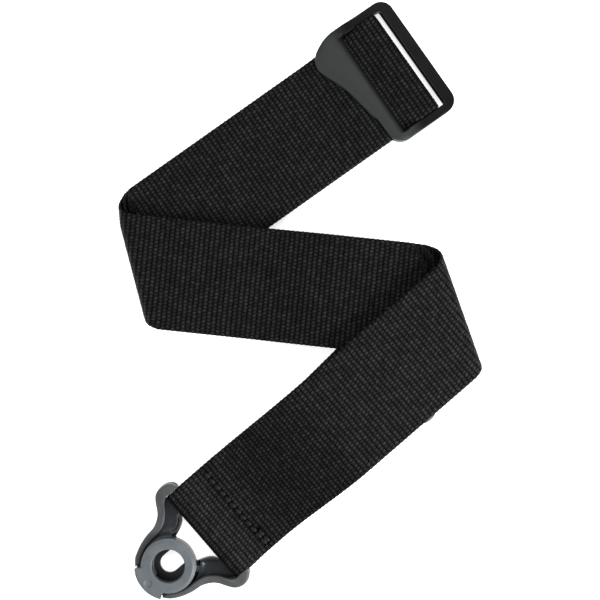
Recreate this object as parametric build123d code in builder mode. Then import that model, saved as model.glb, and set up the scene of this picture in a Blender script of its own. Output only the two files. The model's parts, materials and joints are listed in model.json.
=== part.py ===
"""Guitar strap of 50 mm webbing with two locking ends and a slider, folded flat in a Z on a table.

Millimetres, +Z up, the table at Z = 0. The webbing is one long piece. It leaves the fixed lock, goes
through the slider, returns to the adjuster lock and comes back to the slider's centre bar, so the
folded bundle is three strands thick: strand 1, strand 3 in the middle and strand 2.
"""

import math
import os

from build123d import *

os.makedirs("parts", exist_ok=True)

# Webbing
WEB_W = 50.0
WEB_T = 1.5
PITCH = 1.6  # from one strand to the next in a stack
HALF_T = WEB_T / 2
TOP_W, MID_W, LOW_W = 50.6, 50.2, 48.6  # it varies a little from leg to leg
LOOP_W = 47.2  # the webbing is gathered to this width inside a lock

# Directions in plan, in degrees, and the points they pass through
TOP_ANGLE = 215.2  # from the slider towards the left fold
MID_ANGLE = -6.0
LOW_ANGLE = 40.9  # from the fixed lock towards the right fold
BACK_ANGLE = 224.5  # from the adjuster lock's ring towards its own webbing
SLIDER_BAR = (46.48, 106.39)
MID_POINT = (1.47, 5.73)
FIXED_RING = (-57.98, -119.73)
LOW_POINT = (-57.62, -120.15)  # the webbing's own middle, beside the ring
ADJUSTER_RING = (55.27, -18.67)
LEFT_FOLD = (-70.35, 16.51)
LEFT_FOLD_ANGLE = -75.3
RIGHT_FOLD = (68.79, -5.89)
RIGHT_FOLD_ANGLE = -70.5
TUCK_FOLD = (17.07, -56.17)
TUCK_FOLD_ANGLE = 132.5

# Heights of the strands' middles
TOP_Z = (0.75, 2.35, 3.95)
LEFT_Z = (6.45, 8.05, 9.65)
RIGHT_Z = (10.95, 12.55, 14.15)
LOW_Z = (16.65, 18.25, 19.85)
LEFT_AXIS_Z = 5.2
RIGHT_AXIS_Z = 15.4
FOLD_RADII = (1.25, 2.85, 4.45)  # middles of the three nested strands

# Slider, in its own frame: x from the centre bar towards the strap, y across
SLIDER_BAR_R = 1.4
SLIDER_BAR_Z = 4.55
SLIDER_HALF = 29.6
SLIDER_OPEN = 25.6
SLIDER_LOW = 2.4
SLIDER_TOP = 6.8
LIP_UNDER = 6.65
LIP_EDGES = (14.3, 15.2)  # at the two ends of the lip
FAR_OUT = -12.45
FAR_IN = -7.5
LEDGE_IN = -6.85
LEDGE_TOP = 4.2

# Lock, in its own frame: x from the ring's axis towards the strap, y across
BAR_X = 22.1
BAR_Z = 4.6
BAR_R = 1.9
LOOP_R = 2.7  # middle of the webbing round a crossbar
BASE_LOW = 0.4
BASE_TOP = 2.0
WEB_TOP = 3.6
RIM_TOP = 5.6
BULB_TOP = 8.2
RING_LOW = 5.9
RING_TOP = 9.0
TAB_TOP = 9.0
BORE_R = 7.5
RING_R = 12.4
TAB_R = 15.3
TAB_HALF = 34
NECK_R = 4.35
FLANGE_R = 13.6
CAVITY_R = 13.8
SCREWS = ((17.4, 25.9), (10.2, 17.8))


def heading(angle):
    return math.cos(math.radians(angle)), math.sin(math.radians(angle))


def along(point, angle, distance):
    c, s = heading(angle)
    return point[0] + c * distance, point[1] + s * distance


def side(points, distance):
    """The line of points moved to its left by distance, mitred at the bends."""
    out = []
    for i, (x, y) in enumerate(points):
        normals = []
        for a, b in ((i - 1, i), (i, i + 1)):
            if a >= 0 and b < len(points):
                dx, dy = points[b][0] - points[a][0], points[b][1] - points[a][1]
                size = math.hypot(dx, dy)
                normals.append((-dy / size, dx / size))
        nx, ny = sum(n[0] for n in normals), sum(n[1] for n in normals)
        size = math.hypot(nx, ny)
        nx, ny = nx / size, ny / size
        reach = distance / (nx * normals[0][0] + ny * normals[0][1])
        out.append((x + nx * reach, y + ny * reach))
    return out


def upright(point, angle):
    """The upright plane that runs along a direction, with its own y up."""
    c, s = heading(angle)
    return Plane(origin=(*point, 0), x_dir=(c, s, 0), z_dir=(s, -c, 0))


def flat_run(point, angle, strands, cuts, width=WEB_W):
    """Strands without a loop. Each is a line of (distance, height) points."""
    with BuildPart() as run:
        for strand in strands:
            with BuildSketch(upright(point, angle)):
                with BuildLine():
                    Polyline(*side(strand, HALF_T), *reversed(side(strand, -HALF_T)), close=True)
                make_face()
            extrude(amount=width / 2, both=True)
        for cut in cuts:
            split(bisect_by=cut, keep=Keep.TOP)
    return run.part


def looped_run(point, angle, upper, lower, cuts, width=WEB_W, narrow=None):
    """A strand that goes round a bar. Upper ends above the bar and lower starts beneath it."""
    centre = (upper[-1][1] + lower[0][1]) / 2
    radius = (upper[-1][1] - lower[0][1]) / 2
    bar = upper[-1][0]
    outer, inner = radius + HALF_T, radius - HALF_T
    with BuildPart() as run:
        with BuildSketch(upright(point, angle)):
            with BuildLine():
                Polyline(*side(upper, -HALF_T))
                ThreePointArc((bar, centre + outer), (bar - outer, centre), (bar, centre - outer))
                Polyline(*side(lower, -HALF_T))
                Line(side(lower, -HALF_T)[-1], side(lower, HALF_T)[-1])
                Polyline(*side(lower, HALF_T))
                ThreePointArc((bar, centre + inner), (bar - inner, centre), (bar, centre - inner))
                Polyline(*side(upper, HALF_T))
                Line(side(upper, -HALF_T)[0], side(upper, HALF_T)[0])
            make_face()
        extrude(amount=width / 2, both=True)
        for cut in cuts:
            split(bisect_by=cut, keep=Keep.TOP)
        if narrow:
            with BuildSketch(Plane(origin=(*along(point, angle, bar), 0), x_dir=(*heading(angle), 0))):
                with Locations((narrow / 2 - 10, 30), (narrow / 2 - 10, -30)):
                    Rectangle(narrow + 20, 60 - LOOP_W)
            extrude(amount=12, mode=Mode.SUBTRACT)
    return run.part


def roll(point, angle, height, radii, before, after, outward):
    """Strands turned half round a fold's axis. Outward is +1 when they bulge to the axis's left."""
    c, s = heading(angle)
    start = along(point, angle, -before)
    plane = Plane(origin=(*start, height), x_dir=(-s * outward, c * outward, 0), z_dir=(c, s, 0))
    with BuildPart() as turn:
        for radius in radii:
            with BuildSketch(plane):
                Circle(radius + HALF_T)
                Circle(radius - HALF_T, mode=Mode.SUBTRACT)
                with Locations((-25 - 0.02, 0)):
                    Rectangle(50, 50, mode=Mode.SUBTRACT)
            extrude(amount=before + after)
    return turn.part


def fold_plane(point, angle, left):
    """The upright plane through a fold's axis. Its top is the axis's left when left is True."""
    c, s = heading(angle)
    sign = 1 if left else -1
    return Plane(origin=(*point, 0), x_dir=(c, s, 0), z_dir=(-s * sign, c * sign, 0))


def webbing_part():
    left_of_left = fold_plane(LEFT_FOLD, LEFT_FOLD_ANGLE, True)
    left_of_right = fold_plane(RIGHT_FOLD, RIGHT_FOLD_ANGLE, False)
    right_of_tuck = fold_plane(TUCK_FOLD, TUCK_FOLD_ANGLE, False)
    low, middle, high = TOP_Z
    tail = middle
    far = 175.0
    with BuildPart() as web:
        # Strands 1 and 2 are joined round the slider's centre bar
        over = SLIDER_BAR_Z + 3.8
        add(looped_run(
            SLIDER_BAR, TOP_ANGLE,
            [(far, high), (38, high), (24, high + PITCH), (14.5, high + PITCH), (1.5, over), (0, over)],
            [(0, low), (far, low)],
            [left_of_left],
            TOP_W,
        ))
        # Strand 3 ends in the loop sewn round the bar
        over = SLIDER_BAR_Z + 2.2
        add(looped_run(
            SLIDER_BAR, TOP_ANGLE,
            [(far, middle), (38, middle), (24, high), (14.5, high), (1.5, over), (0, over)],
            [(0, tail), (21, tail)],
            [left_of_left],
            TOP_W,
        ))
        add(roll(LEFT_FOLD, LEFT_FOLD_ANGLE, LEFT_AXIS_Z, FOLD_RADII, 28.6, 24.8, -1))
        # Middle of the Z
        strands = [
            [(-110, a), (-20, a), (12, b), (110, b)] for a, b in zip(LEFT_Z, RIGHT_Z)
        ]
        add(flat_run(MID_POINT, MID_ANGLE, strands, [left_of_left, left_of_right], MID_W))
        add(roll(RIGHT_FOLD, RIGHT_FOLD_ANGLE, RIGHT_AXIS_Z, FOLD_RADII, 27.7, 26.8, 1))
        # Strand 1 goes down to the fixed lock, round its bar, and its tail is sewn underneath
        add(looped_run(
            LOW_POINT, LOW_ANGLE,
            [(200, LOW_Z[2]), (96.4, LOW_Z[2]), (46.5, 3.5), (37.5, 3.5), (25, 7.3), (BAR_X, 7.3)],
            [(BAR_X, 1.9), (48, 1.9)],
            [left_of_right],
            LOW_W,
            narrow=5.5,
        ))
        # Strands 2 and 3 fold under and go back to the adjuster lock
        strands = [[(60, z), (200, z)] for z in LOW_Z[:2]]
        add(flat_run(LOW_POINT, LOW_ANGLE, strands, [left_of_right, right_of_tuck], LOW_W))
        add(roll(TUCK_FOLD, TUCK_FOLD_ANGLE, 11.975, [4.675], 25, 25, 1))
        add(roll(TUCK_FOLD, TUCK_FOLD_ANGLE, 10.075, [8.175], 25, 25, 1))
        add(looped_run(
            ADJUSTER_RING, BACK_ANGLE,
            [(70, 7.3), (BAR_X, 7.3)],
            [(BAR_X, 1.9), (70, 1.9)],
            [right_of_tuck],
            narrow=5.5,
        ))
    return web.part


def thread_row(point, angle, distance, spots, low, high, across=0.0):
    """Lockstitches across the webbing: a thread leg at each needle hole, joined above and below."""
    ux, uy = heading(angle)
    x0, y0 = along(point, angle, distance)
    vx, vy = -uy, ux
    with BuildPart() as row:
        for i, spot in enumerate(spots):
            foot = (x0 + vx * spot + ux * across, y0 + vy * spot + uy * across)
            with Locations((*foot, (low + high) / 2)):
                Cylinder(0.3, high - low)
            if i:
                previous = spots[i - 1]
                centre = (spot + previous) / 2
                spot_mid = (x0 + vx * centre + ux * across, y0 + vy * centre + uy * across)
                turned = angle + 90
                for z in (low, high):
                    with Locations(Location((*spot_mid, z), (0, 0, turned))):
                        Box(abs(spot - previous) + 0.4, 0.75, 0.5)
    return row.part


def slider_part():
    plane = Plane(origin=(*SLIDER_BAR, 0), x_dir=(*heading(TOP_ANGLE), 0))
    section = upright(SLIDER_BAR, TOP_ANGLE)
    h = SLIDER_HALF
    with BuildPart() as body:
        with BuildSketch(plane):
            with BuildLine():
                Line((FAR_OUT, h - 6), (FAR_OUT, 6 - h))
                RadiusArc((FAR_OUT, 6 - h), (FAR_OUT + 6, -h), -6)
                Line((FAR_OUT + 6, -h), (11.5, -h - 0.3))
                Spline(
                    (11.5, -h - 0.3), (18.9, -29.7), (25.0, -27.7), (29.6, -24.4), (31.4, -20.0),
                    (30.3, -15.2), (26.9, -6.5), (24.6, 4.5), (23.1, 12.6), (22.2, 22.3),
                    tangents=((1, 0), (0, 1)),
                )
                RadiusArc((22.2, 22.3), (14.9, h), -7.3)
                Line((14.9, h), (FAR_OUT + 6, h))
                RadiusArc((FAR_OUT + 6, h), (FAR_OUT, h - 6), -6)
            make_face()
        extrude(amount=12)
        with BuildSketch(section):
            with BuildLine():
                Line((FAR_OUT - 1, SLIDER_LOW), (34, SLIDER_LOW))
                Line((34, SLIDER_LOW), (34, 7.6))
                Spline((34, 7.6), (26, 8.9), (16, 9.1), (9, 8.0), (2, SLIDER_TOP), tangents=((-1, 0.25), (-1, 0)))
                Line((2, SLIDER_TOP), (FAR_OUT - 1, SLIDER_TOP))
                Line((FAR_OUT - 1, SLIDER_TOP), (FAR_OUT - 1, SLIDER_LOW))
            make_face()
        extrude(amount=40, both=True, mode=Mode.INTERSECT)
        # The opening over the bar, and the channel under the lip
        with BuildSketch(plane) as opening:
            with BuildLine():
                Polyline(
                    (LIP_EDGES[0], -SLIDER_OPEN), (LIP_EDGES[1], SLIDER_OPEN), (FAR_IN, SLIDER_OPEN),
                    (FAR_IN, -SLIDER_OPEN), close=True,
                )
            make_face()
            fillet(opening.vertices(), 1.6)
        extrude(amount=12, mode=Mode.SUBTRACT)
        with BuildSketch(plane):
            with Locations((22, 0)):
                Rectangle(28, 2 * SLIDER_OPEN)
        extrude(amount=LIP_UNDER, mode=Mode.SUBTRACT)
        # A low ledge inside the far bar, and the centre bar
        with BuildSketch(plane.offset(SLIDER_LOW)):
            with Locations(((FAR_IN + LEDGE_IN) / 2, 0)):
                Rectangle(LEDGE_IN - FAR_IN + 0.2, 2 * SLIDER_OPEN + 0.2)
        extrude(amount=LEDGE_TOP - SLIDER_LOW)
        with BuildSketch(section):
            with Locations((0, SLIDER_BAR_Z)):
                Circle(SLIDER_BAR_R)
        extrude(amount=SLIDER_OPEN + 1, both=True)
    return body.part


def contour(flip):
    """A lock's outer edge from the tab to the strap, on one side."""
    points = [
        (-12.4, 9.3), (-9.7, 12.3), (-5.0, 14.9), (0.0, 16.4), (5.0, 17.1), (8.8, 18.9), (11.4, 21.3),
        (13.6, 25.0), (15.8, 27.7), (18.8, 28.9), (22.2, 28.7), (24.8, 27.3), (26.0, 24.5),
    ]
    return [(x, y * flip) for x, y in points]


def rim_inner(flip):
    """The inner edge of a rim, from the strap back to the tab."""
    points = [
        (21.8, 24.4), (19.0, 24.35), (16.6, 22.4), (12.9, 17.8), (8.9, 14.9), (4.4, 13.7), (-1.4, 13.1),
        (-6.2, 11.5), (-9.8, 9.1),
    ]
    return [(x, y * flip) for x, y in points]


def web_inner(flip):
    """The inner edge of an arm, from the strap side to the collar."""
    points = [(18.1, 12.9), (17.0, 10.9), (14.6, 9.1), (12.2, 8.1), (9.6, 7.4)]
    return [(x, y * flip) for x, y in points]


def lock_body(plane):
    """The black base plate with its two raised arms, the button's keyhole and the tab's stop wall."""
    with BuildPart() as body:
        with BuildSketch(plane.offset(BASE_LOW)):
            Circle(14.9)
            for flip in (1, -1):
                edge = contour(flip)
                with BuildLine():
                    Spline(*edge)
                    Polyline(edge[-1], (18.2, 24.4 * flip), (18.1, 12.9 * flip))
                    Spline(*web_inner(flip))
                    Polyline((9.6, 7.4 * flip), (0, 0), edge[0])
                make_face()
            # The mouth that a button's head comes up through, and the slot for its neck
            with Locations((12.7, 0)):
                Circle(7.3, mode=Mode.SUBTRACT)
            with Locations((6.35, 0)):
                SlotCenterToCenter(12.7, 2 * NECK_R, mode=Mode.SUBTRACT)
            with Locations((18.0, 0)):
                Rectangle(9.2, 15.8, mode=Mode.SUBTRACT)
        extrude(amount=BASE_TOP - BASE_LOW)
        # Arms inside the rims
        with BuildSketch(plane.offset(BASE_TOP)):
            for flip in (1, -1):
                inner = side(rim_inner(flip), 0.1 * flip)
                with BuildLine():
                    Spline(*inner[2:7])
                    Polyline(inner[6], (-1.0, 12.0 * flip), (9.6, 7.4 * flip))
                    Spline(*reversed(web_inner(flip)))
                    Polyline((18.1, 12.9 * flip), (18.1, 22.7 * flip), inner[2])
                make_face()
            Circle(12.95, mode=Mode.SUBTRACT)
        extrude(amount=WEB_TOP - BASE_TOP)
        # Wall behind the collar, under the tab
        with BuildSketch(plane.offset(BASE_TOP)):
            with Locations((0, 0)):
                Circle(15.1)
                Circle(14.5, mode=Mode.SUBTRACT)
            with BuildLine():
                Polyline((0, 0), (-30, 17.5), (-30, -17.5), close=True)
            make_face(mode=Mode.INTERSECT)
        extrude(amount=RIM_TOP - BASE_TOP)
        # Room for the collar's flange
        with BuildSketch(plane.offset(BASE_TOP)):
            Circle(CAVITY_R)
        extrude(amount=1.4, mode=Mode.SUBTRACT)
        # Screw holes
        with BuildSketch(plane.offset(BASE_LOW)):
            for x, y in SCREWS:
                with Locations((x, y), (x, -y)):
                    Circle(0.85)
        extrude(amount=6, mode=Mode.SUBTRACT)
        with BuildSketch(plane.offset(BASE_LOW)):
            for x, y in SCREWS:
                with Locations((x, y), (x, -y)):
                    Circle(1.6)
        extrude(amount=0.9, mode=Mode.SUBTRACT)
    return body.part


def lock_rim(plane, flip):
    """One grey rail round the lock's edge, with the boss that holds the crossbar's end."""
    with BuildPart() as rim:
        with BuildSketch(plane.offset(BASE_TOP + 0.02)):
            with BuildLine():
                Spline(*contour(flip))
                Line(contour(flip)[-1], rim_inner(flip)[0])
                Spline(*rim_inner(flip))
                Line(rim_inner(flip)[-1], contour(flip)[0])
            make_face()
        extrude(amount=RIM_TOP - BASE_TOP - 0.02)
        with BuildSketch(plane.offset(RIM_TOP - 0.1)):
            with Locations((20.8, 26.6 * flip)):
                SlotOverall(8.6, 4.2)
        extrude(amount=BULB_TOP - RIM_TOP + 0.1)
        with BuildSketch(plane.offset(BASE_TOP)):
            Circle(CAVITY_R)
        extrude(amount=1.4, mode=Mode.SUBTRACT)
        with BuildSketch(Plane(origin=plane.from_local_coords((BAR_X, 24 * flip, BAR_Z)),
                               x_dir=plane.x_dir, z_dir=plane.y_dir * flip)):
            Circle(BAR_R + 0.02)
        extrude(amount=3.8, mode=Mode.SUBTRACT)
        with BuildSketch(plane.offset(BASE_TOP)):
            for x, y in SCREWS:
                with Locations((x, y * flip)):
                    Circle(0.83)
        extrude(amount=2.45, mode=Mode.SUBTRACT)
    return rim.part


def lock_ring(plane):
    """The light grey turning ring with its finger tab."""
    with BuildPart() as ring:
        with BuildSketch(plane.offset(RING_LOW)):
            Circle(RING_R)
        extrude(amount=RING_TOP - RING_LOW)
        chamfer(ring.faces().sort_by(Axis.Z)[-1].edges(), 0.5)
        with BuildSketch(plane.offset(RING_LOW)):
            Circle(TAB_R)
            with BuildLine():
                reach = 30 * math.tan(math.radians(TAB_HALF))
                Polyline((0, 0), (-30, reach), (-30, -reach), close=True)
            make_face(mode=Mode.INTERSECT)
        extrude(amount=TAB_TOP - RING_LOW)
        with BuildSketch(plane.offset(RING_LOW)):
            Circle(BORE_R + 0.62)
        extrude(amount=2.4, mode=Mode.SUBTRACT)
        with BuildSketch(plane.offset(RING_LOW)):
            Circle(BORE_R)
        extrude(amount=6, mode=Mode.SUBTRACT)
        # A plain round finger dimple
        with Locations(plane.from_local_coords((-12.0, 0, TAB_TOP + 2.9))):
            Sphere(3.4, mode=Mode.SUBTRACT)
    return ring.part


def lock_collar(plane):
    """The dark collar under the ring: a sleeve, and a gate that closes the way to the strap side."""
    with BuildPart() as collar:
        with BuildSketch(plane.offset(RING_LOW - 0.02)):
            Circle(BORE_R + 0.6)
        extrude(amount=2.35)
        with BuildSketch(plane.offset(BASE_TOP + 0.2)):
            Circle(12.2)
        extrude(amount=RING_LOW - BASE_TOP - 0.22)
        # Its lugs stay under the arms, so that the way between them keeps clear
        with BuildSketch(plane.offset(BASE_TOP + 0.2)):
            Circle(FLANGE_R)
            with BuildLine():
                Polyline((0, 0), along((0, 0), -45, 30), along((0, 0), 45, 30), close=True)
            make_face(mode=Mode.SUBTRACT)
        extrude(amount=1.0)
        with BuildSketch(plane.offset(4.4)):
            Circle(BORE_R)
        extrude(amount=6, mode=Mode.SUBTRACT)
        with BuildSketch(plane.offset(BASE_TOP)):
            Circle(BORE_R - 0.4)
        extrude(amount=3, mode=Mode.SUBTRACT)
        # The gap in the gate, from 178 to 302 degrees, turns to the strap side when the ring is opened
        with BuildSketch(plane.offset(BASE_TOP)):
            with BuildLine():
                corners = [(0, 0)] + [along((0, 0), a, 30) for a in (178, 220, 260, 302)]
                Polyline(*corners, close=True)
            make_face()
        extrude(amount=RING_LOW - 0.6 - BASE_TOP, mode=Mode.SUBTRACT)
    return collar.part


def lock_bar(plane):
    """The steel crossbar that the webbing goes round."""
    start = plane.from_local_coords((BAR_X, -27.6, BAR_Z))
    with BuildPart() as bar:
        with BuildSketch(Plane(origin=start, x_dir=plane.x_dir, z_dir=plane.y_dir)):
            Circle(BAR_R)
        extrude(amount=55.2)
    return bar.part


def lock_spring(plane):
    """The leaf that clicks into the collar and holds the ring shut."""
    with BuildPart() as leaf:
        with BuildSketch(plane.offset(BASE_TOP + 0.15)):
            Circle(14.3)
            Circle(14.0, mode=Mode.SUBTRACT)
            with BuildLine():
                Polyline((0, 0), (-30, 10), (-30, -10), close=True)
            make_face(mode=Mode.INTERSECT)
        extrude(amount=2.6)
    return leaf.part


def lock_screws(plane):
    """The four screws that hold the rims to the base plate, from beneath."""
    spots = [plane.from_local_coords((x, y * f, 0)) for x, y in SCREWS for f in (1, -1)]
    with BuildPart() as screws:
        for spot in spots:
            with Locations((spot.X, spot.Y, BASE_LOW + 0.45)):
                Cylinder(1.5, 0.7)
            with Locations((spot.X, spot.Y, BASE_LOW + 0.45 + 1.8)):
                Cylinder(0.8, 3.6)
            with Locations((spot.X, spot.Y, BASE_LOW + 0.1)):
                Cylinder(0.5, 0.4, mode=Mode.SUBTRACT)
    return screws.part


def save(part, name):
    part.label = name
    export_step(part, f"parts/{name}.step")


# One continuous length of webbing and the threads that hold its two sewn ends
save(webbing_part(), "webbing")

with BuildPart() as lock_stitching:
    add(thread_row(LOW_POINT, LOW_ANGLE, 40.0, [-21.6 + 3.6 * i for i in range(13)], 1.15, 4.25))
    add(thread_row(LOW_POINT, LOW_ANGLE, 41.6, [-21.6 + 3.6 * i for i in range(3)], 1.15, 4.25))
save(lock_stitching.part, "lock_end_stitching")

with BuildPart() as slider_stitching:
    add(thread_row(SLIDER_BAR, TOP_ANGLE, 17.6, [-21.6 + 3.6 * i for i in range(13)], 1.6, 4.7))
save(slider_stitching.part, "slider_end_stitching")

save(slider_part(), "slider")

for lock, centre, angle in (
    ("fixed", FIXED_RING, LOW_ANGLE),
    ("adjuster", ADJUSTER_RING, BACK_ANGLE),
):
    base = Plane(origin=(*centre, 0), x_dir=(*heading(angle), 0))
    save(lock_body(base), f"{lock}_lock_body")
    save(lock_rim(base, 1), f"{lock}_lock_rim_left")
    save(lock_rim(base, -1), f"{lock}_lock_rim_right")
    save(lock_ring(base), f"{lock}_lock_ring")
    save(lock_collar(base), f"{lock}_lock_gate_collar")
    save(lock_bar(base), f"{lock}_lock_crossbar")
    save(lock_spring(base), f"{lock}_lock_detent_spring")
    save(lock_screws(base), f"{lock}_lock_screws")
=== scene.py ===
"""Guitar strap with a lock at each end and a slider, folded flat in a Z: webbing, threads, moulded
parts, studio and camera. Lengths are in millimetres until a mesh is made, in the model's own frame."""

import json
import math

import bpy
import numpy as np
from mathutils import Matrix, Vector

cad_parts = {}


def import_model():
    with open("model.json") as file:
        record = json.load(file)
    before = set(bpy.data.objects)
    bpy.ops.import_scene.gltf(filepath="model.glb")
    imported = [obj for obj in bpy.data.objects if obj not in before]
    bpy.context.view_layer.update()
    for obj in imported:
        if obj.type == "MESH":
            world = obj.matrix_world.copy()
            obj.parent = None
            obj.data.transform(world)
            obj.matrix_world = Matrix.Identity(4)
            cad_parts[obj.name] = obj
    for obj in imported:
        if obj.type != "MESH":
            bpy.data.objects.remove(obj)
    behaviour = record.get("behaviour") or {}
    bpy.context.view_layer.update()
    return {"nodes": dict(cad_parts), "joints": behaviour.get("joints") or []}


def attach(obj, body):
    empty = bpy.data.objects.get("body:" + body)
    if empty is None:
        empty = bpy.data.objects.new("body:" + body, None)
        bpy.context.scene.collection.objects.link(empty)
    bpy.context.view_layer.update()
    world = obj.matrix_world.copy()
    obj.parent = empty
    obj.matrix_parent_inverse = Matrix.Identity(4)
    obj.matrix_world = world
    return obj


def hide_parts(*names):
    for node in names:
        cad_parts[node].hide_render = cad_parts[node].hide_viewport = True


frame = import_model()

MM = 0.001
JOINTS = {joint["name"]: joint for joint in frame["joints"]}


def joint_spot(name):
    """A joint's place, in millimetres."""
    return np.array(JOINTS[name]["pos_m"]) * 1000


def heading(angle):
    return np.array([math.cos(math.radians(angle)), math.sin(math.radians(angle))])


# The webbing and the places it passes
WEB_W = 50.0
WEB_T = 1.5
RELIEF = 0.34  # depth between the yarns
RIB = 2.25  # from one rib to the next along the webbing
BUMPS = 31  # across the width
STEP = RIB / 4
TOP_W, MID_W, LOW_W = 50.6, 50.2, 48.6  # it varies a little from leg to leg
BACK_W = 47.2  # the strands under the low leg and in the tuck
GATHERED_W = 48.3  # inside a lock's loop

SLIDER_BAR = joint_spot("slider_tilt")
FIXED_RING = joint_spot("fixed_ring_turn")
ADJUSTER_RING = joint_spot("adjuster_ring_turn")
TOP_ANGLE, MID_ANGLE, LOW_ANGLE, BACK_ANGLE = 215.2, -6.0, 40.9, 224.5
MID_POINT = (1.47, 5.73)
LOW_POINT = FIXED_RING[:2] + 0.553 * heading(LOW_ANGLE - 90)  # the webbing's own middle, beside the ring
# Each fold: a point on its axis, the axis's angle, the side it bulges to, and how much one end is pinched
LEFT_FOLD = ((-70.35, 16.51), -75.3, -1, 0.3)
RIGHT_FOLD = ((68.79, -5.89), -70.5, 1, 0)
TUCK_FOLD = ((17.07, -56.17), 132.5, 1, 0)
BAR_X = 22.1  # from a lock's ring to its crossbar
LOOP_LOW, LOOP_HIGH = 1.9, 7.3  # the webbing's middle below and above a crossbar
STITCH_X = 39.4  # from a lock's ring to the row of stitches
HOLE_DEPTH = 1.9  # of a needle hole, in crowns of the weave


# ---------------------------------------------------------------- small helpers

def smooth(x, low, high):
    """0 below low, 1 above high, and a smooth step between."""
    t = np.clip((np.asarray(x, float) - low) / (high - low), 0, 1)
    return t * t * (3 - 2 * t)


def new_object(name, points, faces, uvs=None, shade=True):
    """A mesh object from points in millimetres. uvs has one pair for each point."""
    mesh = bpy.data.meshes.new(name)
    points = np.asarray(points, float) * MM
    mesh.from_pydata(points.tolist(), [], [tuple(f) for f in faces])
    mesh.update()
    if uvs is not None:
        layer = mesh.uv_layers.new(name="UVMap")
        loop_points = np.zeros(len(mesh.loops), np.int32)
        mesh.loops.foreach_get("vertex_index", loop_points)
        layer.data.foreach_set("uv", np.asarray(uvs, float)[loop_points].astype(np.float32).ravel())
    if shade:
        mesh.polygons.foreach_set("use_smooth", np.ones(len(mesh.polygons), bool))
    obj = bpy.data.objects.new(name, mesh)
    bpy.context.scene.collection.objects.link(obj)
    return obj


def paint(obj, name, values):
    """Stores a value from 0 to 1 on each point, for the material to read."""
    layer = obj.data.color_attributes.new(name=name, type="FLOAT_COLOR", domain="POINT")
    values = np.clip(np.asarray(values, float), 0, 1)
    rgba = np.stack([values, values, values, np.ones_like(values)], axis=1)
    layer.data.foreach_set("color", rgba.astype(np.float32).ravel())


def material(name):
    """A new node material: (material, its tree, its main shader, a function that adds nodes)."""
    mat = bpy.data.materials.new(name)
    mat.use_nodes = True
    tree = mat.node_tree
    shader = tree.nodes["Principled BSDF"]

    def add(kind, **settings):
        node = tree.nodes.new(kind)
        for key, value in settings.items():
            if key in node.inputs:
                node.inputs[key].default_value = value
            else:
                setattr(node, key, value)
        return node

    return mat, tree, shader, add


def ramp(add, stops):
    node = add("ShaderNodeValToRGB")
    elements = node.color_ramp.elements
    while len(elements) < len(stops):
        elements.new(0.5)
    for element, (place, colour) in zip(elements, stops):
        element.position = place
        element.color = (*colour, 1)
    return node


def dress(obj, mat):
    obj.data.materials.clear()
    obj.data.materials.append(mat)


# ---------------------------------------------------------------- materials

def webbing_material():
    """Black polypropylene with fine filaments: painted shade makes it dark between the yarns and in the
    needle holes, and a painted highlight makes it brighter on the yarns' crowns.
    """
    mat, tree, shader, add = material("black_webbing")
    link = tree.links.new
    uv = add("ShaderNodeUVMap", uv_map="UVMap")
    relief = add("ShaderNodeVertexColor", layer_name="relief")
    mottle = add("ShaderNodeTexNoise", Scale=0.09, Detail=3.0, Roughness=0.6)
    grain = add("ShaderNodeTexNoise", Scale=2.4, Detail=2.0, Roughness=0.7)
    for noise in (mottle, grain):
        link(uv.outputs["UV"], noise.inputs["Vector"])
    mixed = add("ShaderNodeMath", operation="MULTIPLY_ADD")
    mixed.inputs[1].default_value = 0.8
    shifted = add("ShaderNodeMath", operation="SUBTRACT")
    shifted.inputs[1].default_value = 0.47
    # Painted shade and highlight: the relief darkens the pits and needle holes and lightens the crowns of
    # the yarns.
    base = ramp(add, [(0.1, (0.0003, 0.0003, 0.0004)), (0.45, (0.0026, 0.0027, 0.0027)),
                      (0.75, (0.0072, 0.0074, 0.0072)), (1.0, (0.0285, 0.0292, 0.0280))])
    link(grain.outputs["Fac"], mixed.inputs[0])
    link(relief.outputs["Color"], shifted.inputs[0])
    link(shifted.outputs[0], mixed.inputs[2])
    link(mixed.outputs[0], base.inputs["Fac"])
    tint = add("ShaderNodeMix", data_type="RGBA", blend_type="MULTIPLY")
    tint.inputs["Factor"].default_value = 0.4
    shade = ramp(add, [(0.3, (0.66, 0.68, 0.70)), (0.7, (1.34, 1.32, 1.28))])
    link(mottle.outputs["Fac"], shade.inputs["Fac"])
    link(base.outputs["Color"], tint.inputs["A"])
    link(shade.outputs["Color"], tint.inputs["B"])
    link(tint.outputs["Result"], shader.inputs["Base Color"])
    filaments = add("ShaderNodeTexWave", wave_type="BANDS", bands_direction="Y", Scale=1.9, Distortion=2.2)
    filaments.inputs["Detail"].default_value = 2.0
    link(uv.outputs["UV"], filaments.inputs["Vector"])
    bump = add("ShaderNodeBump", Strength=0.35, Distance=0.00009)
    link(filaments.outputs["Fac"], bump.inputs["Height"])
    link(bump.outputs["Normal"], shader.inputs["Normal"])
    rough = add("ShaderNodeMapRange")
    rough.inputs["To Min"].default_value = 0.42
    rough.inputs["To Max"].default_value = 0.62
    link(grain.outputs["Fac"], rough.inputs["Value"])
    link(rough.outputs["Result"], shader.inputs["Roughness"])
    # The pits lie in shade, so they reflect little
    gloss = add("ShaderNodeMapRange")
    gloss.inputs["From Min"].default_value = 0.4
    gloss.inputs["From Max"].default_value = 0.95
    gloss.inputs["To Min"].default_value = 0.03
    gloss.inputs["To Max"].default_value = 0.2
    link(relief.outputs["Color"], gloss.inputs["Value"])
    link(gloss.outputs["Result"], shader.inputs["Specular IOR Level"])
    return mat


GRAIN, MOTTLE = 0.35, 9.0  # of the moulded plastics


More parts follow.
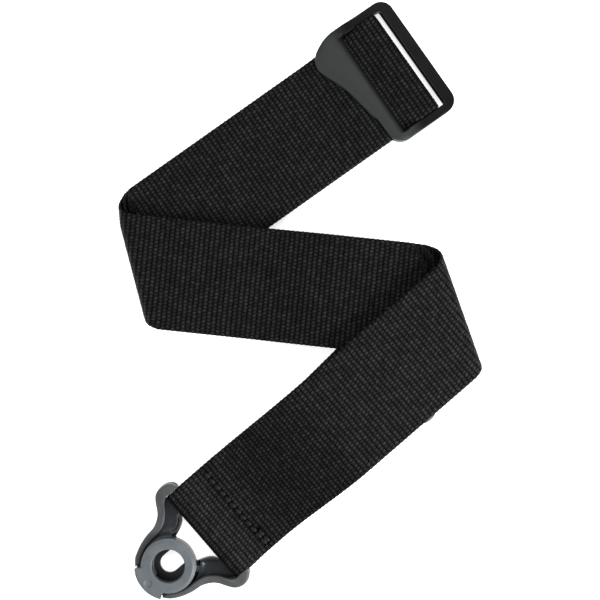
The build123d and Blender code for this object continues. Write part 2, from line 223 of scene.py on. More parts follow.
def thread_material():
    """Bonded black thread with its twist."""
    mat, tree, shader, add = material("black_thread")
    link = tree.links.new
    place = add("ShaderNodeTexCoord")
    twist = add("ShaderNodeTexWave", wave_type="BANDS", bands_direction="DIAGONAL", Scale=900.0)
    link(place.outputs["Object"], twist.inputs["Vector"])
    colour = ramp(add, [(0.0, (0.003, 0.003, 0.003)), (1.0, (0.014, 0.014, 0.0145))])
    link(twist.outputs["Fac"], colour.inputs["Fac"])
    link(colour.outputs["Color"], shader.inputs["Base Color"])
    bump = add("ShaderNodeBump", Strength=0.5, Distance=0.00008)
    link(twist.outputs["Fac"], bump.inputs["Height"])
    link(bump.outputs["Normal"], shader.inputs["Normal"])
    shader.inputs["Roughness"].default_value = 0.55
    shader.inputs["Specular IOR Level"].default_value = 0.2
    return mat


def moulded(name, dark, light, rough, gloss=0.3, coat=0.0):
    """Moulded plastic: a fine spark-eroded grain, a soft drift of tone, and shinier worn spots."""
    mat, tree, shader, add = material(name)
    link = tree.links.new
    place = add("ShaderNodeTexCoord")
    grain = add("ShaderNodeTexNoise", Scale=1000 / GRAIN, Detail=2.0, Roughness=0.6)
    drift = add("ShaderNodeTexNoise", Scale=1000 / MOTTLE, Detail=3.0, Roughness=0.55)
    for noise in (grain, drift):
        link(place.outputs["Object"], noise.inputs["Vector"])
    colour = ramp(add, [(0.3, dark), (0.72, light)])
    link(drift.outputs["Fac"], colour.inputs["Fac"])
    speck = add("ShaderNodeMix", data_type="RGBA", blend_type="MULTIPLY")
    speck.inputs["Factor"].default_value = 0.35
    fine = ramp(add, [(0.35, (0.82, 0.82, 0.82)), (0.65, (1.14, 1.14, 1.14))])
    link(grain.outputs["Fac"], fine.inputs["Fac"])
    link(colour.outputs["Color"], speck.inputs["A"])
    link(fine.outputs["Color"], speck.inputs["B"])
    link(speck.outputs["Result"], shader.inputs["Base Color"])
    polish = add("ShaderNodeMapRange")
    polish.inputs["To Min"].default_value = rough - 0.08
    polish.inputs["To Max"].default_value = rough + 0.08
    link(drift.outputs["Fac"], polish.inputs["Value"])
    link(polish.outputs["Result"], shader.inputs["Roughness"])
    bump = add("ShaderNodeBump", Strength=0.5, Distance=0.02 * MM)
    link(grain.outputs["Fac"], bump.inputs["Height"])
    link(bump.outputs["Normal"], shader.inputs["Normal"])
    shader.inputs["Specular IOR Level"].default_value = gloss
    shader.inputs["Coat Weight"].default_value = coat
    return mat


def steel_material(name, tone):
    """Plated steel with fine drawing lines."""
    mat, tree, shader, add = material(name)
    link = tree.links.new
    place = add("ShaderNodeTexCoord")
    stretch = add("ShaderNodeMapping")
    stretch.inputs["Scale"].default_value = (1.0, 1.0, 14.0)
    lines = add("ShaderNodeTexNoise", Scale=900.0, Detail=3.0)
    link(place.outputs["Object"], stretch.inputs["Vector"])
    link(stretch.outputs["Vector"], lines.inputs["Vector"])
    colour = ramp(add, [(0.3, tuple(0.8 * t for t in tone)), (0.7, tone)])
    link(lines.outputs["Fac"], colour.inputs["Fac"])
    link(colour.outputs["Color"], shader.inputs["Base Color"])
    rough = add("ShaderNodeMapRange")
    rough.inputs["To Min"].default_value = 0.24
    rough.inputs["To Max"].default_value = 0.42
    link(lines.outputs["Fac"], rough.inputs["Value"])
    link(rough.outputs["Result"], shader.inputs["Roughness"])
    shader.inputs["Metallic"].default_value = 1.0
    return mat


WEBBING = webbing_material()
THREAD = thread_material()
BODY_BLACK = moulded("lock_black", (0.0075, 0.0095, 0.0115), (0.015, 0.018, 0.0215), 0.34, 0.42, coat=0.05)
RIM_GREY = moulded("rim_grey", (0.052, 0.055, 0.055), (0.082, 0.086, 0.086), 0.48)
RING_GREY = moulded("ring_grey", (0.094, 0.105, 0.113), (0.128, 0.141, 0.150), 0.38)
COLLAR_GREY = moulded("collar_grey", (0.030, 0.032, 0.035), (0.050, 0.052, 0.056), 0.42)
STEEL = steel_material("plated_steel", (0.62, 0.62, 0.63))
SPRING_STEEL = steel_material("spring_steel", (0.45, 0.45, 0.47))


# ---------------------------------------------------------------- webbing

class Run:
    """A stretch of a strand over one leg of the fold, as a line of (along, height) points."""

    def __init__(self, origin, angle, hand, line, width, gather=False):
        self.origin = np.asarray(origin, float)[:2]
        self.ahead = heading(angle)
        self.across = heading(angle + 90)
        self.scale = hand * width / WEB_W
        self.width = width
        self.line = np.asarray(line, float)
        self.gather = gather
        gaps = np.linalg.norm(np.diff(self.line, axis=0), axis=1)
        self.length = np.concatenate([[0], np.cumsum(gaps)])

    def place(self, v, t):
        x = np.interp(t, self.length, self.line[:, 0])
        z = np.interp(t, self.length, self.line[:, 1])
        side = self.scale * v
        if self.gather:
            share = min(1, GATHERED_W / self.width)
            side = side * (share + (1 - share) * smooth(x, BAR_X + 1.5, BAR_X + 7))
        plan = self.origin + np.outer(x, self.ahead) + np.outer(side, self.across)
        return np.column_stack([plan, z])

    def cross(self, v, fold, last):
        """(length at which column v meets a fold's axis, how far along that axis)."""
        (px, py), angle, _, _ = fold
        axis = heading(angle)
        start = self.origin + self.across * self.scale * v - np.array([px, py])
        # start + ahead * x is on the axis
        x = -(start[0] * axis[1] - start[1] * axis[0]) / (self.ahead[0] * axis[1] - self.ahead[1] * axis[0])
        spot = start + self.ahead * x
        end = -1 if last else 0
        travelled = abs(x - self.line[end, 0])
        length = self.length[-1] - travelled if last else travelled
        return length, float(spot @ axis)


def level(x0, x1, z0, z1, ease=None):
    """Points from (x0, z0) to (x1, z1). The height changes smoothly inside the ease interval."""
    xs = np.linspace(x0, x1, max(2, int(abs(x1 - x0) / 0.5)))
    if ease is None:
        return np.column_stack([xs, np.full(len(xs), z0)])
    low, high = sorted(ease)
    t = smooth(xs, low, high)
    if (x1 - x0) * (ease[1] - ease[0]) < 0:
        t = 1 - t
    rising = t if x1 > x0 else 1 - t
    return np.column_stack([xs, z0 + (z1 - z0) * rising])


def hairpin(x, top, bottom, down):
    """Half a turn round a bar at x, on the side away from the strap."""
    centre, radius = (top + bottom) / 2, (top - bottom) / 2
    angles = np.linspace(90, 270, 25)[1:-1]
    if not down:
        angles = angles[::-1]
    a = np.radians(angles)
    return np.column_stack([x + radius * np.cos(a), centre + radius * np.sin(a)])


def joined(*parts):
    line = [parts[0][0]]
    for part in parts:
        for point in part:
            if np.hypot(*(point - line[-1])) > 1e-6:
                line.append(point)
    return np.array(line)


def strand_grid(runs, folds, low_edge, high_edge):
    """The middle surface of a strand: points[row][column], rows STEP apart, both ends counted."""
    columns = np.linspace(-WEB_W / 2, WEB_W / 2, 4 * BUMPS + 1)
    offsets = [0.0]
    crossings = []
    for k, fold in enumerate(folds):
        pairs = [(runs[k].cross(v, fold, True), runs[k + 1].cross(v, fold, False)) for v in columns]
        crossings.append(pairs)
        radius = abs(runs[k].line[-1, 1] - runs[k + 1].line[0, 1]) / 2
        shift = np.mean([b[1] - a[1] for a, b in pairs])
        turn = math.hypot(math.pi * radius, shift)
        gap = np.mean([(offsets[k] + a[0]) - b[0] for a, b in pairs])
        offsets.append(gap + turn)
    total = offsets[-1] + runs[-1].length[-1]
    rows = STEP * np.arange(round(low_edge / STEP), math.floor(min(total, high_edge) / STEP) + 1)
    grid = np.zeros((len(rows), len(columns), 3))
    for c, v in enumerate(columns):
        for k, run in enumerate(runs):
            start = offsets[k] + (crossings[k - 1][c][1][0] if k else 0)
            end = offsets[k] + (crossings[k][c][0][0] if k < len(folds) else run.length[-1])
            here = (rows >= start - 1e-9) & (rows <= end + 1e-9)
            grid[here, c] = run.place(v, rows[here] - offsets[k])
            if k < len(folds):
                (_, a_axis), (b_len, b_axis) = crossings[k][c]
                roll_end = offsets[k + 1] + b_len
                on = (rows > end) & (rows < roll_end)
                phi = math.pi * (rows[on] - end) / (roll_end - end)
                (px, py), angle, bulge, pinch = folds[k]
                axis = heading(angle)
                out = heading(angle + 90) * bulge
                z0, z1 = run.line[-1, 1], runs[k + 1].line[0, 1]
                along = a_axis + (b_axis - a_axis) * phi / math.pi
                reach = abs(z1 - z0) / 2 * np.sin(phi) * (1 - pinch * smooth(-along, 18, 28))
                plan = np.array([px, py]) + np.outer(along, axis) + np.outer(reach, out)
                z = (z0 + z1) / 2 + (z0 - z1) / 2 * np.cos(phi)
                grid[on, c] = np.column_stack([plan, z])
    return rows, columns, grid


def weave(w, v):
    """Height of the weave, from 0 in a pit between two yarns to 1 on a crown, at w along and v across."""
    w = w + 0.1 * np.sin(0.83 * v + 0.31 * w) + 0.06 * np.sin(2.9 * v)
    row = np.round(w / RIB)
    pitch = WEB_W / BUMPS
    along = (w / RIB - row) * 2
    lean = 0.16 * along * np.where(row % 2 == 0, 1, -1)  # the yarns cross the ribs aslant, by turns
    shifted = (v + 0.14 * np.sin(1.3 * w + 0.4 * v) + WEB_W / 2) / pitch + 0.5 * (row % 2) + 0.5 * lean
    bead = np.round(shifted)
    across = np.abs(shifted - bead) * 2
    dome = np.sqrt(np.clip(1 - 0.93 * along**2, 0, 1)) * np.sqrt(np.clip(1 - 0.3 * across**2, 0, 1))
    pit = smooth(across, 0.45, 1.0) * (1 - 0.5 * along**2)
    uneven = np.sin(bead * 12.9898 + row * 78.233) * 43758.5453
    return dome * (1 - 0.42 * pit) * (0.78 + 0.22 * (uneven - np.floor(uneven)))


def strand(name, runs, folds, cuts, holes):
    """The webbing as closed pieces. cuts and the needle holes' places are lengths along it."""
    pieces = []
    for number, (low, high) in enumerate(zip(cuts[:-1], cuts[1:])):
        rows, columns, grid = strand_grid(runs, folds, max(low - STEP, 0), high + STEP)
        lateral = np.gradient(grid, axis=1)
        normal = np.cross(np.gradient(grid, axis=0), lateral)
        normal /= np.linalg.norm(normal, axis=2, keepdims=True)
        own = (rows > low - 0.1) & (rows < high + 0.1)
        rows, grid, lateral, normal = rows[own], grid[own], lateral[own], normal[own]
        w, v = np.meshgrid(rows, columns, indexing="ij")
        crown = weave(w, v)
        for hole_w, hole_v in holes:
            off = ((w - hole_w) / 0.75) ** 2 + ((v - hole_v) / 0.6) ** 2
            crown = crown - HOLE_DEPTH * np.exp(-off)
        crown = np.clip(crown, -0.6, 1)
        under = weave(w + RIB, v)
        edge = smooth(WEB_W / 2 - np.abs(v), 0.0, 0.7)[..., None]
        half = (WEB_T / 2 - RELIEF * (1 - crown))[..., None] * (0.55 + 0.45 * edge)
        half_under = (WEB_T / 2 - RELIEF * (1 - under))[..., None] * (0.55 + 0.45 * edge)
        top, bottom = grid + normal * half, grid - normal * half_under
        side = lateral / np.linalg.norm(lateral, axis=2, keepdims=True)
        swell = (0.16 + 0.1 * np.cos(2 * np.pi * rows / RIB))[:, None]
        right = grid[:, -1] + side[:, -1] * swell
        left = grid[:, 0] - side[:, 0] * swell
        ring = np.concatenate([top, right[:, None], bottom[:, ::-1], left[:, None]], axis=1)
        count, size = ring.shape[:2]
        around = np.concatenate([columns, [columns[-1] + 0.7], columns[::-1], [columns[0] - 0.7]])
        uvs = np.stack(np.broadcast_arrays(rows[:, None], around[None, :]), axis=2).reshape(-1, 2)
        index = np.arange(count * size).reshape(count, size)
        a, b = index[:-1], index[1:]
        faces = np.stack([a, b, np.roll(b, -1, 1), np.roll(a, -1, 1)], axis=2).reshape(-1, 4)
        # The ends have points of their own, so that they do not bend the shading beside them
        extra = count * size
        caps = [tuple(range(extra, extra + size)), tuple(range(extra + 2 * size - 1, extra + size - 1, -1))]
        points = np.concatenate([ring.reshape(-1, 3), ring[0], ring[-1]])
        uvs = np.concatenate([uvs, uvs[:size], uvs[-size:]])
        obj = new_object(f"{name}_{number + 1}", points, faces.tolist() + caps, uvs)
        # The relief painted here also sets the colour: painted shade in the pits and needle holes, a
        # painted highlight on the crowns.
        side_value = np.full((count, 1), 0.45)
        value = np.concatenate([crown, side_value, under[:, ::-1], side_value], axis=1).reshape(-1)
        paint(obj, "relief", np.concatenate([value, value[:size], value[-size:]]))
        dress(obj, WEBBING)
        pieces.append(obj)
    return pieces


def nested(fold, distance):
    """The fold of an inner strand, which turns this much sooner than the outermost one."""
    (px, py), angle, bulge, pinch = fold
    back = heading(angle - 90) * bulge * distance
    return (px + back[0], py + back[1]), angle, bulge, pinch


def build_webbing():
    """The nine stretches of the one webbing, from the tail at the fixed lock to the sewn end."""
    far = 190.0
    bar_z = 4.55

    def middle(left, right, to_left):
        line = joined(level(-110, -22, left, left), level(-22, 14, left, right, (-22, 14)),
                      level(14, 110, right, right))
        return Run(MID_POINT, MID_ANGLE, 1, line[::-1] if to_left else line, MID_W)

    def to_slider(outer, lip, over, under, end):
        """From the left fold under the slider's lip, round its centre bar and back beneath."""
        inward = joined(level(far, 39, outer, outer), level(39, 23, outer, lip, (39, 23)),
                        level(23, 15.5, lip, lip), level(15.5, 0.5, lip, over, (15.5, 0.5)))
        line = joined(inward, hairpin(0, over, under, True), level(0, end, under, under))
        return Run(SLIDER_BAR, TOP_ANGLE, -1, line, TOP_W)

    def low(height, away):
        line = level(far, -20, height, height)
        return Run(LOW_POINT, LOW_ANGLE, 1, line[::-1] if away else line, BACK_W)

    lock_end = joined(
        level(48, BAR_X, LOOP_LOW, LOOP_LOW), hairpin(BAR_X, LOOP_HIGH, LOOP_LOW, False),
        level(BAR_X, 38, LOOP_HIGH, 3.5, (BAR_X, 38)), level(38, 46, 3.5, 3.5),
        level(46, 97, 3.5, 19.85, (46, 97)), level(97, far, 19.85, 19.85),
    )
    back = joined(
        level(160, BAR_X, LOOP_HIGH, LOOP_HIGH), hairpin(BAR_X, LOOP_HIGH, LOOP_LOW, True),
        level(BAR_X, 160, LOOP_LOW, LOOP_LOW),
    )
    runs = [
        Run(LOW_POINT, LOW_ANGLE, 1, lock_end, LOW_W, True),
        middle(6.45, 10.95, True),
        to_slider(3.95, 5.55, bar_z + 3.8, 0.75, far),
        middle(9.65, 14.15, False),
        low(16.65, False),
        Run(ADJUSTER_RING, BACK_ANGLE, -1, back, BACK_W, True),
        low(18.25, True),
        middle(8.05, 12.55, True),
        to_slider(2.35, 3.95, bar_z + 2.2, 2.35, 21),
    ]
    folds = [
        RIGHT_FOLD, nested(LEFT_FOLD, 2.6), LEFT_FOLD, nested(RIGHT_FOLD, 5.4),
        TUCK_FOLD, TUCK_FOLD, nested(RIGHT_FOLD, 2.7), nested(LEFT_FOLD, 1.3),
    ]
    turn = np.argmin(runs[0].line[:, 0])
    stitch_w = float(np.interp(STITCH_X, runs[0].line[turn:, 0], runs[0].length[turn:]))
    spots = [-21.6 + 3.6 * i for i in range(13)]
    holes = [(stitch_w, v) for v in spots] + [(stitch_w + 1.6, v) for v in spots[:3]]
    cuts = [0] + [RIB * (rib + 0.5) for rib in (91, 151, 231, 284, 373, 449, 533, 631)]  # between two ribs
    pieces = strand("webbing_strand", runs, folds, cuts, holes)
    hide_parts("webbing")
    for piece in pieces:
        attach(piece, "strap")
    return spots


def tube(points, high, wide, sides=10):
    """Points and faces of a flattened thread along a line, thinner at its ends."""
    points = np.asarray(points, float)
    ahead = np.gradient(points, axis=0)
    ahead /= np.linalg.norm(ahead, axis=1, keepdims=True)
    chord = points[-1] - points[0]
    first = np.cross(chord / np.linalg.norm(chord), (0, 0, 1))
    rings = []
    for share, point, t in zip(np.linspace(0, 1, len(points)), points, ahead):
        second = np.cross(t, first)
        a = np.linspace(0, 2 * math.pi, sides, endpoint=False)[:, None]
        full = 0.45 + 0.55 * math.sin(math.pi * share)
        rings.append(point + full * (wide * np.cos(a) * first + high * np.sin(a) * second))
    index = np.arange(len(points) * sides).reshape(-1, sides)
    quads = np.stack([index[:-1], np.roll(index[:-1], -1, 1), np.roll(index[1:], -1, 1), index[1:]], axis=2)
    faces = quads.reshape(-1, 4).tolist() + [tuple(index[0][::-1]), tuple(index[-1])]
    return np.concatenate(rings), faces


def build_lock_stitching(spots):
    """The lockstitches across the fixed lock's loop: dashes above and below, from hole to hole."""
    points, faces = [], []

    def add(path):
        more, quads = tube(path, 0.38, 0.88)
        faces.extend([tuple(i + sum(len(p) for p in points) for i in f) for f in quads])
        points.append(more)

    ahead, across = heading(LOW_ANGLE), heading(LOW_ANGLE + 90)
    for x, row in ((STITCH_X, spots), (STITCH_X + 1.6, spots[:3])):
        for a, b in zip(row[:-1], row[1:]):
            for outside, inside in ((4.42, 3.5), (0.98, 1.9)):
                t = np.linspace(0, 1, 15)
                height = inside + (outside - inside) * np.sin(np.pi * t) ** 0.45
                side = a + (b - a) * (0.04 + 0.92 * t)
                lean = 0.12 * np.sin(2 * np.pi * t)
                plan = LOW_POINT + np.outer(x + lean, ahead) + np.outer(side, across)
                add(np.column_stack([plan, height]))
    obj = new_object("lock_end_stitches", np.concatenate(points), faces)
    dress(obj, THREAD)
    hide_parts("lock_end_stitching")
    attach(obj, "strap")


# ---------------------------------------------------------------- moulded parts

def cad_copy(name, node, voxel, rounds, group, shape=None):
    """A fine, softened copy of a CAD node as a new object, in millimetres for shape(points)."""
    source = frame["nodes"][node]
    mesh = source.data.copy()
    obj = bpy.data.objects.new(name, mesh)
    bpy.context.scene.collection.objects.link(obj)
    mesh.materials.clear()
    weld = obj.modifiers.new("weld", "WELD")
    weld.merge_threshold = 1e-6
    remesh = obj.modifiers.new("remesh", "REMESH")
    remesh.mode = "VOXEL"
    remesh.voxel_size = voxel * MM
    soften = obj.modifiers.new("soften", "SMOOTH")
    soften.factor = 0.5
    soften.iterations = rounds
    bpy.context.view_layer.update()
    result = bpy.data.meshes.new_from_object(obj.evaluated_get(bpy.context.evaluated_depsgraph_get()))
    obj.modifiers.clear()
    obj.data = result
    obj.matrix_world.identity()
    points = np.zeros(len(result.vertices) * 3)
    result.vertices.foreach_get("co", points)
    points = points.reshape(-1, 3) / MM
    if shape:
        points, values = shape(points)
        result.vertices.foreach_set("co", (points * MM).ravel())
        for key, value in values.items():
            paint(obj, key, value)
    result.polygons.foreach_set("use_smooth", np.ones(len(result.polygons), bool))
    result.update()
    print("PIECE", name, len(result.polygons))
    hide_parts(node)
    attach(obj, group)
    return obj


def local(points, origin, angle):
    """World points in a part's own frame: x along its direction, y across, z up."""
    moved = points - np.array([*origin[:2], 0])
    a, b = heading(angle), heading(angle + 90)
    return np.column_stack([moved[:, :2] @ a, moved[:, :2] @ b, moved[:, 2]])


def world(points, origin, angle):
    a, b = heading(angle), heading(angle + 90)
    plan = np.outer(points[:, 0], a) + np.outer(points[:, 1], b) + np.asarray(origin[:2])
    return np.column_stack([plan, points[:, 2]])


def curve(points, count):
    """A smooth line through the points, evenly spaced."""
    p = np.asarray(points, float)
    p = np.vstack([2 * p[0] - p[1], p, 2 * p[-1] - p[-2]])
    out = []
    for i in range(1, len(p) - 2):
        for t in np.linspace(0, 1, 24, endpoint=False):
            a, b, c, d = p[i - 1 : i + 3]
            out.append(0.5 * (2 * b + (c - a) * t + (2 * a - 5 * b + 4 * c - d) * t**2
                              + (3 * b - a - 3 * c + d) * t**3))
    out.append(p[-2])
    out = np.array(out)
    length = np.concatenate([[0], np.cumsum(np.linalg.norm(np.diff(out, axis=0), axis=1))])
    at = np.linspace(0, length[-1], count)
    return np.column_stack([np.interp(at, length, out[:, 0]), np.interp(at, length, out[:, 1])])


def gap_to(points, line):
    """Distance in plan from each point to a line of points."""
    best = np.full(len(points), 1e9)
    for spot in line:
        best = np.minimum(best, np.hypot(points[:, 0] - spot[0], points[:, 1] - spot[1]))
    return best


# The outer edge of the slider's lip, in the slider's own frame
SLIDER_LIP = [
    (11.5, -29.9), (18.9, -29.7), (25.0, -27.7), (29.6, -24.4), (31.4, -20.0), (30.3, -15.2), (26.9, -6.5),
    (24.6, 4.5), (23.1, 12.6), (22.2, 22.3), (20.1, 27.4), (14.9, 29.6),
]


def slider_shape(points):
    """Rounds the lip down to its outer edge and to the opening, and marks where a painted reflection makes
    it grey, fading to black as painted shade where it rolls into the opening.
    """
    p = local(points, SLIDER_BAR, TOP_ANGLE)
    edge = gap_to(p, curve(SLIDER_LIP, 300))
    above = np.clip((p[:, 2] - 6.7) / 1.2, 0, 1)
    fall = 1 - np.sqrt(np.clip(1 - (1 - np.clip(edge / 5.0, 0, 1)) ** 2, 0, 1))
    inner = p[:, 0] - (14.75 + 0.9 * p[:, 1] / 51.2)
    between = 1 - smooth(np.abs(p[:, 1]), 25.4, 26.4)
    roll_in = 1 - np.sqrt(np.clip(1 - (1 - np.clip(inner / 3.2, 0, 1)) ** 2, 0, 1))
    p[:, 2] -= 1.2 * fall * above * smooth(p[:, 0], 9, 16)
    p[:, 2] -= 1.7 * roll_in * above * between * (p[:, 0] > 13)
    # Painted reflection: grey where the lip's dome would catch the light, fading to painted shade towards
    # the opening's rolled edge.
    grey = smooth(p[:, 0] + 0.12 * p[:, 1], 8.0, 17.5) * (1 - between * (1 - smooth(inner, 0.2, 3.4)))
    return world(p, SLIDER_BAR, TOP_ANGLE), {"lip": grey * (p[:, 2] > 5.5)}


def second_tone_and_reflection(mat, layer, colour):
    """Another colour where the painted value is 1: the collar's lighter wall, and the painted reflection on
    the slider's lip.
    """
    tree = mat.node_tree
    shader = tree.nodes["Principled BSDF"]
    first = shader.inputs["Base Color"].links[0].from_socket
    painted = tree.nodes.new("ShaderNodeVertexColor")
    painted.layer_name = layer
    mix = tree.nodes.new("ShaderNodeMix")
    mix.data_type = "RGBA"
    mix.inputs["B"].default_value = (*colour, 1)
    tree.links.new(painted.outputs["Color"], mix.inputs["Factor"])
    tree.links.new(first, mix.inputs["A"])
    tree.links.new(mix.outputs["Result"], shader.inputs["Base Color"])


def build_slider():
    obj = cad_copy("slider_moulding", "slider", 0.24, 8, "slider", slider_shape)
    mat = moulded("slider_black_and_painted_sheen", (0.0026, 0.0026, 0.0029), (0.0056, 0.0056, 0.0058), 0.4, 0.12)
    # The grey on the lip is a painted reflection on the black plastic, with painted shade where it rolls
    # into the opening.
    second_tone_and_reflection(mat, "lip", (0.032, 0.0334, 0.0328))
    dress(obj, mat)


# The edges of a left rail and arm, in the lock's own frame: x from its ring towards the webbing, y across
OUTER = [
    (-12.4, 9.3), (-9.7, 12.3), (-5.0, 14.9), (0.0, 16.4), (5.0, 17.1), (8.8, 18.9), (11.4, 21.3),
    (13.6, 25.0), (15.8, 27.7), (18.8, 28.9), (22.2, 28.7), (24.8, 27.3), (26.2, 24.0),
]
INNER = [
    (-9.8, 9.1), (-6.2, 11.5), (-1.4, 13.1), (4.4, 13.7), (8.9, 14.9), (12.9, 17.8), (16.6, 22.4),
    (19.2, 24.0), (22.0, 24.0),
]


ARM_MOUTH = [
    (9.2, 7.2), (12.2, 8.1), (14.6, 9.1), (16.9, 10.8), (18.4, 13.2), (18.7, 16.0), (18.7, 23.4),
]
ARM_RAIL = [(0.0, 13.6), (4.4, 14.2), (8.9, 15.5), (12.9, 18.6), (16.2, 22.8), (18.0, 24.4)]
POCKET_R = 13.85  # the room under the rails and beside the arms in which the collar's flange turns
POCKET_TOP = 3.45


def outside(points):
    """Points moved outwards until they clear the collar's flange."""
    reach = np.hypot(points[:, 0], points[:, 1])
    return points * (np.maximum(reach, POCKET_R) / reach)[:, None]


def rungs(row):
    """An end face, as strips between the points that face each other across the section."""
    return [(row[i], row[i + 1], row[-2 - i], row[-1 - i]) for i in range(len(row) // 2 - 1)]


def loft(sections, flip, laddered=False):
    """Points and faces of a solid through closed sections. A flip of -1 mirrors it across the lock."""
    sections[:, :, 1] *= flip
    count, size = sections.shape[:2]
    index = np.arange(count * size).reshape(count, size)
    quads = np.stack([index[:-1], np.roll(index[:-1], -1, 1), np.roll(index[1:], -1, 1), index[1:]], axis=2)
    first, last = [rungs(row) if laddered else [tuple(row)] for row in index[[0, -1]]]
    faces = quads.reshape(-1, 4).tolist() + [f[::-1] for f in first] + last
    if flip > 0:
        faces = [f[::-1] for f in faces]
    return sections.reshape(-1, 3), faces


def rim_mesh(flip):
    """A rail with a rounded top, which swells into the boss over the crossbar's end."""
    stations = 150
    outer, inner = curve(OUTER, stations), curve(INNER, stations)
    share = np.linspace(0, 1, stations)
    width = np.linalg.norm(outer - inner, axis=1)
    middle = (outer + inner) / 2
    travelled = np.concatenate([[0], np.cumsum(np.linalg.norm(np.diff(middle, axis=0), axis=1))])
    u = 0.5 - 0.5 * np.cos(np.linspace(0, math.pi, 21))
    top = 5.6 + 2.6 * smooth(middle[:, 0], 13.0, 20.5)
    soft = 0.9 + 0.4 * smooth(middle[:, 0], 14.0, 20.0)
    end = np.minimum(travelled, travelled[-1] - travelled)
    points = []
    for k in range(stations):
        side = np.minimum(u, 1 - u) * width[k]
        near = np.minimum(side, 2.5 * end[k])
        r = min(soft[k], width[k] / 2)
        height = top[k] - r + np.sqrt(np.clip(r * r - np.clip(r - near, 0, r) ** 2, 0, None))
        rib = 0.05 * np.cos(2 * math.pi * travelled[k] / 0.85) * (share[k] < 0.42) * smooth(side, 0.3, 0.8)
        plan = outer[k] + np.outer(u, inner[k] - outer[k])
        line = inner[k] + np.outer(np.linspace(0.02, 1, 80), outer[k] - inner[k])
        step = line[np.argmax(np.hypot(line[:, 0], line[:, 1]) > POCKET_R)]
        under = [(*inner[k], POCKET_TOP), (*step, POCKET_TOP), (*step, 2.02)]
        points.append([(*outer[k], 2.02), *np.column_stack([plan, height + rib]), *under])
    return loft(np.array(points), flip)


def ring_mesh():
    """The turning ring with its tab: a flat face with soft edges, and a round dimple in the tab."""
    angles = np.radians(np.linspace(0, 360, 481)[:-1])
    off = np.abs((np.degrees(angles) - 180 + 180) % 360 - 180)
    reach = 12.4 + 2.9 * (1 - smooth(off, 36.3, 36.9))
    bore, sleeve, low, high = 7.5, 8.12, 5.9, 9.0
    u = 0.5 - 0.5 * np.cos(np.linspace(0, math.pi, 33))
    points = []
    for a, r_out in zip(angles, reach):
        radius = bore + (r_out - bore) * u
        bevel = 0.42 * np.clip(1.25 - (r_out - radius), 0, None) * (1 if r_out < 14 else 0.4)
        bevel += 0.12 * smooth(radius, r_out - 1.4, r_out - 1.2)
        inward = np.clip(1 - (radius - bore) / 0.5, 0, 1)
        height = high - bevel - 0.5 * (1 - np.sqrt(1 - inward**2))
        x, y = radius * math.cos(a), radius * math.sin(a)
        hollow = np.clip(1 - ((x + 12.0) ** 2 + y**2) / 1.9**2, 0, None)
        height = height - 0.55 * np.sqrt(hollow)
        recess = (sleeve * math.cos(a), sleeve * math.sin(a))
        points.append([(x[0], y[0], low + 2.4), *zip(x, y, height), (x[-1], y[-1], low),
                       (*recess, low), (*recess, low + 2.4)])
    points = np.array(points)
    count, size = points.shape[:2]
    index = np.arange(count * size).reshape(count, size)
    ahead = np.roll(index, -1, 0)
    quads = np.stack([index, ahead, np.roll(ahead, -1, 1), np.roll(index, -1, 1)], axis=2)
    return points.reshape(-1, 3), [f[::-1] for f in quads.reshape(-1, 4).tolist()]


def body_shape(origin, angle):
    """Makes room on the base plate for the modelled arms, and fits its edge to the mouth and the tab."""
    def shape(points):
        p = local(points, origin, angle)
        keep = 1 - smooth(p[:, 0], -1.5, 0.5)
        p[:, 2] = np.where(p[:, 2] > 2.0, 2.0 + (p[:, 2] - 2.0) * keep, p[:, 2])
        trim = np.interp(p[:, 0], [9.6, 12.2, 14.6], [7.4, 8.1, 9.1])
        out = np.abs(p[:, 1])
        corner = (p[:, 0] > 10) & (p[:, 0] < 15) & (out > 6.8) & (out < trim)
        p[:, 1] = np.where(corner, np.sign(p[:, 1]) * trim, p[:, 1])
        reach = np.hypot(p[:, 0], p[:, 1])
        p[:, :2] *= 1 + 0.028 * (smooth(reach, 14.2, 14.8) * smooth(-p[:, 0], 8, 10))[:, None]
        return world(p, origin, angle), {}

    return shape


def collar_shape(origin, angle):
    """Marks the gate's outer wall, which is lighter than the sleeve and the lugs."""
    def shape(points):
        p = local(points, origin, angle)
        reach = np.hypot(p[:, 0], p[:, 1])
        return world(p, origin, angle), {"wall": (reach > 9) & (reach < 12.45) & (p[:, 2] > 3.0)}

    return shape


def arm_mesh(flip):
    """An arm between its rail and the mouth: a raised lip on the mouth's side round a scooped top."""
    stations = 120
    mouth, rail = outside(curve(ARM_MOUTH, stations)), outside(curve(ARM_RAIL, stations))
    u = 0.5 - 0.5 * np.cos(np.linspace(0, math.pi, 41))
    points = []
    for k in range(stations):
        plan = outside(mouth[k] + np.outer(u, rail[k] - mouth[k]))
        deep = np.linalg.norm(rail[k] - mouth[k]) * u
        near = np.minimum(deep, gap_to(plan, mouth))
        lip = 3.7 - 0.55 * (1 - np.sqrt(np.clip(1 - np.clip(1 - near / 0.55, 0, 1) ** 2, 0, 1)))
        floor = 2.55 + 0.5 * smooth(near, 3.0, 8.5)
        floor = floor + 0.75 * (1 - smooth(np.hypot(plan[:, 0], plan[:, 1]), 13.4, 17.5))
        inward = 1 - (1 - smooth(near, 0.75, 2.5)) * (1 - smooth(plan[:, 1], 11.5, 15.0))
        height = lip + (floor - lip) * inward
        top = np.column_stack([plan, height])[::-1]
        points.append(np.vstack([top, np.column_stack([plan, np.full(len(plan), 1.95)])]))
    return loft(np.array(points), flip, True)


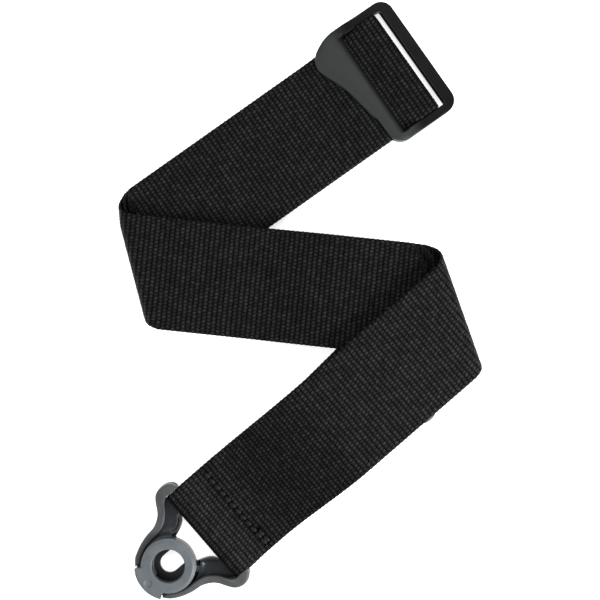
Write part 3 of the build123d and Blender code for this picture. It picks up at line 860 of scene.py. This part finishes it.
def build_lock(prefix, origin, angle):
    lock, turning = f"{prefix}_lock", f"{prefix}_ring"
    body = cad_copy(f"{prefix}_base_and_arms", f"{lock}_body", 0.22, 6, lock, body_shape(origin, angle))
    dress(body, BODY_BLACK)
    for side, flip in (("left", 1), ("right", -1)):
        points, faces = rim_mesh(flip)
        rim = new_object(f"{prefix}_rail_{side}", world(points, origin, angle), faces)
        dress(rim, RIM_GREY)
        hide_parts(f"{lock}_rim_{side}")
        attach(rim, lock)
        points, faces = arm_mesh(flip)
        arm = new_object(f"{prefix}_arm_{side}", world(points, origin, angle), faces)
        dress(arm, BODY_BLACK)
        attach(arm, lock)
    points, faces = ring_mesh()
    ring = new_object(f"{prefix}_turning_ring", world(points, origin, angle), faces)
    dress(ring, RING_GREY)
    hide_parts(f"{lock}_ring")
    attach(ring, turning)
    collar_form = collar_shape(origin, angle)
    collar = cad_copy(f"{prefix}_collar", f"{lock}_gate_collar", 0.16, 5, turning, collar_form)
    dress(collar, COLLAR_GREY)
    for node, mat in (("crossbar", STEEL), ("detent_spring", SPRING_STEEL), ("screws", STEEL)):
        dress(frame["nodes"][f"{lock}_{node}"], mat)


second_tone_and_reflection(COLLAR_GREY, "wall", (0.105, 0.115, 0.122))
spots = build_webbing()
build_lock_stitching(spots)
build_slider()
build_lock("fixed", FIXED_RING, LOW_ANGLE)
build_lock("adjuster", ADJUSTER_RING, BACK_ANGLE)
dress(frame["nodes"]["slider_end_stitching"], THREAD)


# ---------------------------------------------------------------- studio

def build_floor():
    """A pale light table, which keeps the ground white beside the strap and through its openings."""
    half = 1500
    corners = [(-half, -half, 0), (half, -half, 0), (half, half, 0), (-half, half, 0)]
    obj = new_object("floor", corners, [(0, 1, 2, 3)], shade=False)
    mat, tree, shader, add = material("pale_floor")
    place = add("ShaderNodeTexCoord")
    drift = add("ShaderNodeTexNoise", Scale=6.0, Detail=2.0)
    tone = ramp(add, [(0.3, (0.87, 0.87, 0.87)), (0.7, (0.90, 0.90, 0.90))])
    tree.links.new(place.outputs["Object"], drift.inputs["Vector"])
    tree.links.new(drift.outputs["Fac"], tone.inputs["Fac"])
    tree.links.new(tone.outputs["Color"], shader.inputs["Base Color"])
    tree.links.new(tone.outputs["Color"], shader.inputs["Emission Color"])
    shader.inputs["Emission Strength"].default_value = 0.8
    shader.inputs["Roughness"].default_value = 0.9
    shader.inputs["Specular IOR Level"].default_value = 0.1
    dress(obj, mat)


def area_light(name, place, size, power, colour=(1, 1, 1)):
    light = bpy.data.lights.new(name, "AREA")
    light.shape = "SQUARE"
    light.size = size
    light.energy = power
    light.color = colour
    obj = bpy.data.objects.new(name, light)
    bpy.context.scene.collection.objects.link(obj)
    obj.location = place
    obj.rotation_mode = "QUATERNION"
    obj.rotation_quaternion = (-Vector(place)).to_track_quat("-Z", "Y")


build_floor()
area_light("key_right", (0.8, -0.5, 0.5), 0.5, 18)
area_light("fill_left", (-0.8, -0.1, 0.75), 0.7, 4)
area_light("top_soft", (-0.1, 0.7, 1.1), 0.9, 5)

world_light = bpy.data.worlds.new("soft_room")
world_light.use_nodes = True
world_light.node_tree.nodes["Background"].inputs["Color"].default_value = (0.93, 0.95, 1.0, 1)
world_light.node_tree.nodes["Background"].inputs["Strength"].default_value = 0.4
bpy.context.scene.world = world_light
bpy.context.scene.view_settings.view_transform = "Standard"

camera = bpy.data.objects.new("camera", bpy.data.cameras.new("camera"))
bpy.context.scene.collection.objects.link(camera)
camera.location = (0.00147, 0.00033, 0.5)
camera.data.sensor_width = 36
camera.data.lens = 65.4
camera.data.clip_start = 0.01
bpy.context.scene.camera = camera
